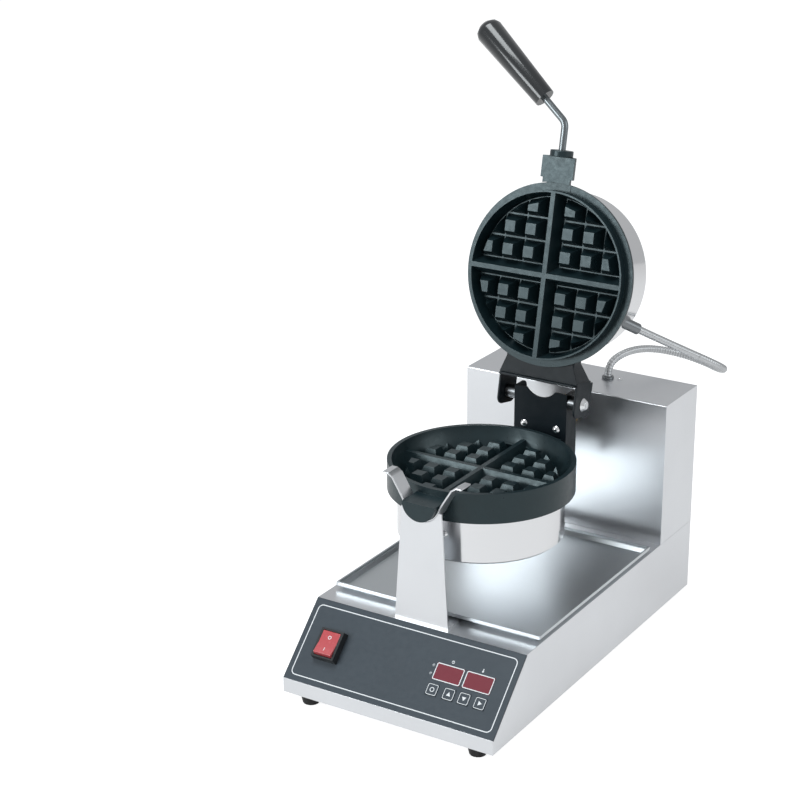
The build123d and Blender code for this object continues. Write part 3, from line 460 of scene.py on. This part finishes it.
# Width of the rounded edges, and the angle in degrees up to which faces shade as one
DRESSED = {
    "base_housing": (0.0008, 28.0),
    "tower_housing": (0.0008, 28.0),
    "rear_cover": (0.0004, 28.0),
    "front_bracket": (0.0006, 28.0),
    "pan_cradle": (0.0006, 28.0),
    "drip_tray": (0.0005, 28.0),
    "hinge_channel": (0.0006, 28.0),
    "upper_bracket": (0.0006, 28.0),
    "lower_pan": (0.0009, 20.0),
    "upper_pan": (0.0009, 20.0),
    "lower_cover": (0.0, 50.0),
    "upper_cover": (0.0, 50.0),
    "switch_housing": (0.0006, 28.0),
    "rocker_switch": (0.0006, 28.0),
    "handle_boss": (0.0008, 28.0),
    "handle_rod": (0.0, 40.0),
    "handle_grip": (0.0, 60.0),
    "feet": (0.0006, 28.0),
    "control_panel": (0.0003, 28.0),
    "shaft_bearing": (0.0006, 28.0),
    "rotation_shaft": (0.0006, 28.0),
    "hinge_spacers": (0.0003, 28.0),
    "hinge_bolts": (0.0003, 40.0),
    "channel_screws": (0.0, 60.0),
    "tower_screws": (0.0, 60.0),
    "bracket_screws": (0.0, 60.0),
    "lower_cover_screws": (0.0, 60.0),
    "upper_cover_screws": (0.0, 60.0),
    "conduit_gland_lower": (0.0003, 28.0),
    "conduit_gland_upper": (0.0003, 28.0),
    "indicator_lamps": (0.0, 60.0),
}


# Hood

def opened(point):
    """Where a point of the closed upper iron lies in the open one."""
    return HINGE + Matrix.Rotation(-LID_OPEN, 3, "X") @ (Vector(point) - HINGE)


def sheet(name, corners, offset):
    """A flat plate of the upper iron from the corners of one face and the way through it."""
    work = bmesh.new()
    near = [work.verts.new(opened(corner)) for corner in corners]
    away = [work.verts.new(opened(Vector(corner) + Vector(offset))) for corner in corners]
    strip(work, near, away)
    cap_ends(work, near, away)
    made = add_object(name, outward_mesh(work, name), "lid", MATERIALS["hinge_dark"])
    round_edges(made, HOOD_EDGE)


def hood_wall(name, side):
    """One flared wall of the hood, on the side that -1 or 1 names."""
    low = HOOD_LOW + HOOD_PLATE
    near = side * HOOD_NEAR_HALF
    far = side * HOOD_FAR_HALF
    corners = [
        (near, HOOD_NEAR, low),
        (near, HOOD_NEAR, HOOD_NEAR_TOP),
        (far, HOOD_FAR, HOOD_FAR_TOP),
        (far, HOOD_FAR, low),
    ]
    sheet(name, corners, (-side * HOOD_WALL, 0.0, 0.0))


def make_hood():
    """Plate and flared walls that close the hood between its bar and the ring."""
    plate = [
        (-HOOD_NEAR_HALF, HOOD_NEAR, HOOD_LOW),
        (HOOD_NEAR_HALF, HOOD_NEAR, HOOD_LOW),
        (HOOD_FAR_HALF, HOOD_FAR, HOOD_LOW),
        (-HOOD_FAR_HALF, HOOD_FAR, HOOD_LOW),
    ]
    sheet("hood_plate", plate, (0.0, 0.0, HOOD_PLATE))
    hood_wall("hood_wall_left", -1.0)
    hood_wall("hood_wall_right", 1.0)


# Armoured cable

def spline_points(route):
    """Points along the smooth line that a route's control points give."""
    curve = bpy.data.curves.new("route", "CURVE")
    curve.dimensions = "3D"
    curve.resolution_u = ROUTE_STEPS
    spline = curve.splines.new("NURBS")
    spline.points.add(len(route) - 1)
    for point, place in zip(spline.points, route):
        point.co = (*place, 1.0)
    spline.order_u = 3
    spline.use_endpoint_u = True
    holder = bpy.data.objects.new("route", curve)
    bpy.context.scene.collection.objects.link(holder)
    bpy.context.view_layer.update()
    depsgraph = bpy.context.evaluated_depsgraph_get()
    line = bpy.data.meshes.new_from_object(holder.evaluated_get(depsgraph))
    points = [vertex.co.copy() for vertex in line.vertices]
    bpy.data.objects.remove(holder)
    bpy.data.meshes.remove(line)
    bpy.data.curves.remove(curve)
    return points


def evenly(points, step):
    """The same line with its points a fixed distance apart, and its length."""
    lengths = [0.0]
    for before, after in zip(points, points[1:]):
        lengths.append(lengths[-1] + (after - before).length)
    count = max(2, round(lengths[-1] / step))
    result = []
    index = 0
    for number in range(count + 1):
        target = lengths[-1] * number / count
        while index < len(points) - 2 and lengths[index + 1] < target:
            index += 1
        share = (target - lengths[index]) / max(lengths[index + 1] - lengths[index], 1e-9)
        result.append(points[index].lerp(points[index + 1], share))
    return result, lengths[-1]


def hose_rings(work, centres):
    """Rows of corners round the points of a line, wider at the ribs and narrower between them."""
    rings = []
    side_way = Vector((0.0, 0.0, 1.0))
    for index, centre in enumerate(centres):
        ahead = centres[min(index + 1, len(centres) - 1)] - centres[max(index - 1, 0)]
        ahead.normalize()
        side_way = (side_way - ahead * side_way.dot(ahead)).normalized()
        other = ahead.cross(side_way)
        radius = CONDUIT_DIAMETER / 2 * RIB_PROFILE[index % len(RIB_PROFILE)]
        ring = []
        for side in range(HOSE_SIDES):
            turn = 2 * math.pi * side / HOSE_SIDES
            offset = side_way * math.cos(turn) + other * math.sin(turn)
            ring.append(work.verts.new(centre + offset * radius))
        rings.append(ring)
    return rings


def hose_mesh(name, centres):
    """The mesh of a ribbed hose round the points of a line."""
    work = bmesh.new()
    rings = hose_rings(work, centres)
    for before, after in zip(rings, rings[1:]):
        strip(work, before, after)
    cap_ends(work, rings[0], rings[-1])
    for face in work.faces:
        face.smooth = len(face.verts) == 4
    return outward_mesh(work, name)


def hose(name, route, node):
    """Interlocked metal hose along a route, with a rolled rib every few millimetres."""
    centres, length = evenly(spline_points(route), RIB_PITCH / len(RIB_PROFILE))
    mesh = hose_mesh(name, centres)
    mesh.materials.append(MATERIALS["conduit_steel"])
    made = bpy.data.objects.new(name, mesh)
    bpy.context.scene.collection.objects.link(made)
    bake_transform(made)
    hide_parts(node)
    path = [tuple(point) for point in centres[::len(RIB_PROFILE)]]
    path.append(tuple(centres[-1]))


def make_hoses():
    """The cable from the tower to the upper iron, split where it crosses the hinge."""
    hose(
        "conduit_lower_hose", LOWER_ROUTE,
        "conduit_lower",
    )
    hose(
        "conduit_upper_hose", UPPER_ROUTE,
        "conduit_upper",
    )


# Marks on the panel

DOWN = (SLOPE_FOOT - SLOPE_TOP).normalized()
OUT = Vector((1.0, 0.0, 0.0)).cross(-DOWN)


def on_slope(x, down, out=0.0):
    """A point of the panel from millimetres across, down from its top edge and out."""
    return SLOPE_TOP + Vector((x * MM, 0.0, 0.0)) + DOWN * (down * MM) + OUT * (out * MM)


def printed_rows(work, outline, height):
    """The lower and upper corners of a printed outline."""
    places = [(x, down, height(x, down)) for x, down in outline]
    low = [work.verts.new(on_slope(x, down, out)) for x, down, out in places]
    top = [work.verts.new(on_slope(x, down, out + PRINT_THICKNESS)) for x, down, out in places]
    return low, top


def flat_print(name, outlines, height, body="root"):
    """Printed marks as thin shapes: each entry is an outline, with an inner outline or None.
    The height above the panel, in millimetres, is given by a function of the place."""
    work = bmesh.new()
    for outer, inner in outlines:
        low, top = printed_rows(work, outer, height)
        strip(work, low, top)
        if inner is None:
            cap_ends(work, low, top)
            continue
        low_inner, top_inner = printed_rows(work, inner, height)
        strip(work, top, top_inner)
        strip(work, low_inner, low)
        strip(work, top_inner, low_inner)
    add_object(name, outward_mesh(work, name), body, PRINT_WHITE)


def rounded_rectangle(x, down, width, height, radius):
    """Corner points of a rounded rectangle round a middle point."""
    steps = 6
    points = []
    for corner, (sx, sy) in enumerate(((1, -1), (1, 1), (-1, 1), (-1, -1))):
        cx = x + sx * (width / 2 - radius)
        cy = down + sy * (height / 2 - radius)
        start = -math.pi / 2 + corner * math.pi / 2
        for step in range(steps + 1):
            turn = start + math.pi / 2 * step / steps
            points.append((cx + radius * math.cos(turn), cy + radius * math.sin(turn)))
    return points


def frame_line(x, down, width, height, radius, line):
    """A rounded rectangular line, drawn inward from its outer size."""
    outer = rounded_rectangle(x, down, width, height, radius)
    inner = rounded_rectangle(x, down, width - 2 * line, height - 2 * line, radius - line)
    return outer, inner


def circle(x, down, radius):
    """Corner points of a round outline."""
    sides = 24
    turns = [2 * math.pi * index / sides for index in range(sides)]
    return [(x + radius * math.cos(turn), down + radius * math.sin(turn)) for turn in turns]


def ring_line(x, down, radius, line):
    """A round line, drawn inward from its outer radius."""
    return circle(x, down, radius), circle(x, down, radius - line)


def arrowhead(x, down, way):
    """A filled arrowhead that points up, down or right."""
    points = [(0.0, -0.6), (0.6, 0.45), (-0.6, 0.45)]
    turn = math.radians({"up": 0.0, "down": 180.0, "right": 90.0}[way])
    cosine, sine = math.cos(turn), math.sin(turn)
    corners = []
    for px, py in points:
        across = px * cosine - py * sine
        along = px * sine + py * cosine
        corners.append((x + ARROW_SIZE * across, down + ARROW_SIZE * along))
    return corners, None


def bar(x, down, width, height):
    """A filled plain rectangle."""
    left, right = x - width / 2, x + width / 2
    top, foot = down - height / 2, down + height / 2
    return [(left, top), (right, top), (right, foot), (left, foot)], None


def level(height):
    """The same height everywhere."""
    return lambda x, down: height


def height_over(node):
    """The height above the panel of a CAD node's face at a place."""
    mesh = frame["nodes"][node].data
    corners = [vertex.co for vertex in mesh.vertices]
    tree = BVHTree.FromPolygons(corners, [face.vertices for face in mesh.polygons])
    start_height = 40.0

    def height(x, down):
        place = tree.ray_cast(on_slope(x, down, start_height), -OUT)[0]
        return 0.0 if place is None else (place - on_slope(x, down)).dot(OUT) / MM

    return height


def display_prints():
    """A frame round each display, with a small dial over one and a thermometer over the other."""
    frames = [
        frame_line(x, DISPLAY_DOWN, DISPLAY_WIDTH, DISPLAY_HEIGHT, DISPLAY_RADIUS, DISPLAY_LINE)
        for x in DISPLAY_XS
    ]
    flat_print("display_frames", frames, level(DISPLAY_PROUD))
    dial_x, thermometer_x = DISPLAY_XS
    signs = [
        ring_line(dial_x, DIAL_DOWN, DIAL_RADIUS, DIAL_LINE),
        bar(dial_x, HAND_DOWN, HAND_WIDTH, HAND_HEIGHT),
        bar(thermometer_x, STEM_DOWN, STEM_WIDTH, STEM_HEIGHT),
        (circle(thermometer_x, BULB_DOWN, BULB_RADIUS), None),
    ]
    flat_print("display_signs", signs, level(0.0))


def key_prints():
    """A frame on each key, with a ring in the first and arrowheads in the others."""
    marks = [ring_line(KEY_XS[0], KEY_DOWN, KEY_RING_RADIUS, KEY_RING_LINE)]
    for x, way in zip(KEY_XS[1:], ("up", "down", "right")):
        marks.append(arrowhead(x, KEY_DOWN, way))
    for number, (x, mark) in enumerate(zip(KEY_XS, marks), start=1):
        frame_mark = frame_line(x, KEY_DOWN, KEY_FRAME, KEY_FRAME, KEY_FRAME_RADIUS, KEY_FRAME_LINE)
        body = "key_body_%d" % number
        flat_print("key_marks_%d" % number, [frame_mark, mark], level(KEY_PROUD), body)


def panel_prints():
    """White border, marks of the displays and keys, and the rocker's 0 and I."""
    border = frame_line(0.0, BORDER_DOWN, BORDER_WIDTH, BORDER_HEIGHT, BORDER_RADIUS, BORDER_LINE)
    flat_print("panel_border", [border], level(0.0))
    display_prints()
    key_prints()
    low, high = SWITCH_DOWN + SWITCH_MARK_OFFSET, SWITCH_DOWN - SWITCH_MARK_OFFSET
    switch_marks = [
        bar(SWITCH_X, low, SWITCH_BAR_WIDTH, SWITCH_BAR_HEIGHT),
        ring_line(SWITCH_X, high, SWITCH_RING_RADIUS, SWITCH_RING_LINE),
    ]
    flat_print("switch_marks", switch_marks, height_over("rocker_switch"), "rocker")


# Stage, lights and camera

class Tree:
    """The emptied node tree of a material or the world, with a few short ways to fill it."""

    def __init__(self, owner, output_kind):
        owner.use_nodes = True
        self.nodes = owner.node_tree.nodes
        self.links = owner.node_tree.links
        self.nodes.clear()
        self.surface = self.nodes.new(output_kind).inputs["Surface"]

    def shader(self, kind, **values):
        """A new shader with constants on its sockets."""
        made = self.nodes.new(kind)
        for socket, value in values.items():
            made.inputs[socket].default_value = value
        return made.outputs[0]

    def join(self, kind, first, second):
        """A node that adds or mixes two shaders."""
        made = self.nodes.new(kind)
        shader_sockets = [socket for socket in made.inputs if socket.type == "SHADER"]
        self.links.new(first, shader_sockets[0])
        self.links.new(second, shader_sockets[1])
        return made

    def combine(self, operation, first, second):
        """Two values put together by a math operation."""
        made = self.nodes.new("ShaderNodeMath")
        made.operation = operation
        self.links.new(first, made.inputs[0])
        self.links.new(second, made.inputs[1])
        return made.outputs["Value"]

    def seen(self, shiny_share):
        """1 for camera rays, a share of it for rays off or through shiny surfaces, else 0."""
        rays = self.nodes.new("ShaderNodeLightPath").outputs
        share = self.nodes.new("ShaderNodeMath")
        share.operation = "MULTIPLY"
        share.inputs[1].default_value = shiny_share
        shiny = self.combine("MAXIMUM", rays["Is Glossy Ray"], rays["Is Transmission Ray"])
        self.links.new(shiny, share.inputs[0])
        return self.combine("MAXIMUM", rays["Is Camera Ray"], share.outputs["Value"])

    def show(self, light, white, shiny_share):
        """The white one where it is seen, and the other one as light."""
        mix = self.join("ShaderNodeMixShader", light, white)
        self.links.new(self.seen(shiny_share), mix.inputs["Fac"])
        self.links.new(mix.outputs["Shader"], self.surface)


def make_stage():
    """White floor that keeps the object's shadow."""
    mesh = bpy.data.meshes.new("floor")
    corners = [(-1, -1), (1, -1), (1, 1), (-1, 1)]
    mesh.from_pydata([(x * FLOOR_HALF, y * FLOOR_HALF, 0.0) for x, y in corners], [], [(0, 1, 2, 3)])
    floor = bpy.data.objects.new("floor", mesh)
    bpy.context.scene.collection.objects.link(floor)
    material = bpy.data.materials.new("floor")
    tree = Tree(material, "ShaderNodeOutputMaterial")
    plain = tree.shader("ShaderNodeBsdfDiffuse", Color=FLOOR_PLAIN)
    shaded = tree.shader("ShaderNodeBsdfDiffuse", Color=FLOOR_SHADED)
    glow = tree.shader("ShaderNodeEmission", Strength=FLOOR_GLOW)
    white = tree.join("ShaderNodeAddShader", shaded, glow).outputs["Shader"]
    tree.show(plain, white, FLOOR_IN_METAL)
    mesh.materials.append(material)


def make_world():
    """White where it is seen, soft grey studio light to everything else."""
    world = bpy.data.worlds.new("studio")
    bpy.context.scene.world = world
    tree = Tree(world, "ShaderNodeOutputWorld")
    light = tree.shader("ShaderNodeBackground", Color=WORLD_LIGHT, Strength=WORLD_STRENGTH)
    white = tree.shader("ShaderNodeBackground", Color=(1.0, 1.0, 1.0, 1.0), Strength=1.0)
    tree.show(light, white, WORLD_IN_METAL)


def area_light(name, place, target, width, height, power):
    """A rectangular lamp that looks at a point."""
    light = bpy.data.lights.new(name, "AREA")
    light.energy = power
    light.color = LAMP_COLOR
    light.shape = "RECTANGLE"
    light.size = width
    light.size_y = height
    made = bpy.data.objects.new(name, light)
    made.location = place
    toward = Vector(target) - Vector(place)
    made.rotation_mode = "QUATERNION"
    made.rotation_quaternion = toward.to_track_quat("-Z", "Y")
    bpy.context.scene.collection.objects.link(made)


def make_lights():
    """A large soft lamp that the upper iron mirrors, one above and a weaker one at the side."""
    area_light("key", (-1.30, -2.10, 0.95), (0.0, 0.1, 0.38), 1.3, 0.8, power=25)
    area_light("side", (2.2, 0.3, 1.3), (0.0, 0.0, 0.3), 1.4, 1.4, power=10)
    area_light("top", (-0.5, -0.5, 2.6), (0.0, 0.0, 0.3), 1.2, 1.2, power=32)


def make_camera():
    """A camera where the photo's was, turned by azimuth, elevation and roll."""
    azimuth = math.radians(CAMERA_AZIMUTH)
    elevation = math.radians(CAMERA_ELEVATION)
    roll = math.radians(CAMERA_ROLL)
    back = Vector((
        math.sin(azimuth) * math.cos(elevation),
        -math.cos(azimuth) * math.cos(elevation),
        math.sin(elevation),
    ))
    right = Vector((math.cos(azimuth), math.sin(azimuth), 0.0))
    up = back.cross(right)
    turned_right = right * math.cos(roll) + up * math.sin(roll)
    turned_up = up * math.cos(roll) - right * math.sin(roll)
    turned = Matrix((turned_right, turned_up, back)).transposed()
    camera = bpy.data.objects.new("camera", bpy.data.cameras.new("camera"))
    camera.data.sensor_width = SENSOR
    camera.data.lens = FOCAL_PIXELS / PICTURE_PIXELS * SENSOR
    camera.data.clip_end = CAMERA_REACH
    camera.matrix_world = Matrix.Translation(CAMERA_PLACE) @ turned.to_4x4()
    bpy.context.scene.collection.objects.link(camera)
    bpy.context.scene.camera = camera


def main():
    """Paint and dress the CAD nodes, add what the solids lack, and set the stage."""
    bpy.context.scene.view_settings.view_transform = "Standard"
    for node in frame["nodes"]:
        paint_node(node)
    for node, (width, smooth) in DRESSED.items():
        dress(node, width, smooth)
    make_hood()
    make_hoses()
    panel_prints()
    make_stage()
    make_world()
    make_lights()
    make_camera()


main()
